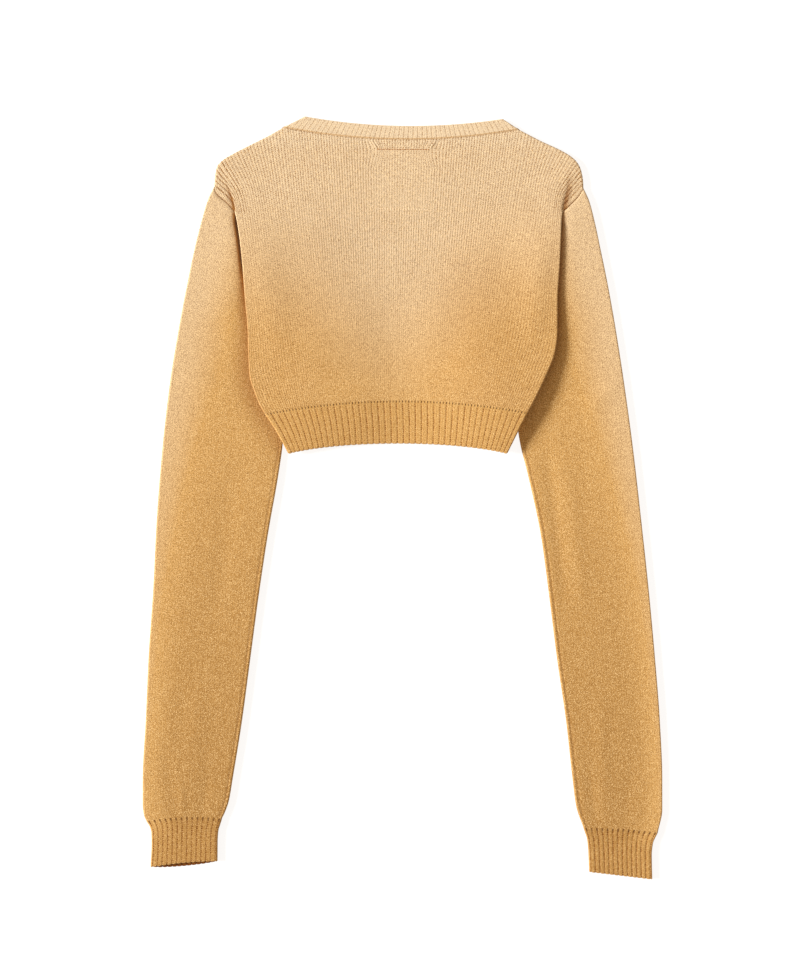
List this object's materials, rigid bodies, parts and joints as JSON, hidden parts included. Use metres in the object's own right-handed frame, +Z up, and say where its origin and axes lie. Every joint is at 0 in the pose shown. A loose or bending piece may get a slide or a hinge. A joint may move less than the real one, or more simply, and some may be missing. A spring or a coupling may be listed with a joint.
{
  "type": "cropped knit sweater",
  "caption": "Cropped long-sleeved knit sweater with ribbed neckband, waistband and cuffs, laid flat with its back up and its sleeves beside and under the body.",
  "frame": {"origin": "middle of the outline on the surface that the sweater lies on", "axes": "+Y from the cuffs to the neck, +Z up out of the back, +X to the right as seen from above"},
  "size_m": [0.545, 0.799, 0.0167],
  "materials": {
    "wool_knit": "plain knit with a soft nap, dyed ochre and faded to a pinkish beige across the shoulders and down the outer sleeves",
    "rib_knit": "one by one rib knit in the same yarn"
  },
  "bodies": {
    "root": {"back_panel": "wool_knit", "front_panel": "wool_knit", "left_sleeve": "wool_knit", "right_sleeve": "wool_knit", "back_waistband": "rib_knit", "front_waistband": "rib_knit", "left_cuff": "rib_knit", "right_cuff": "rib_knit", "back_neckband": "rib_knit", "front_neckband": "rib_knit"}
  },
  "joints": []
}
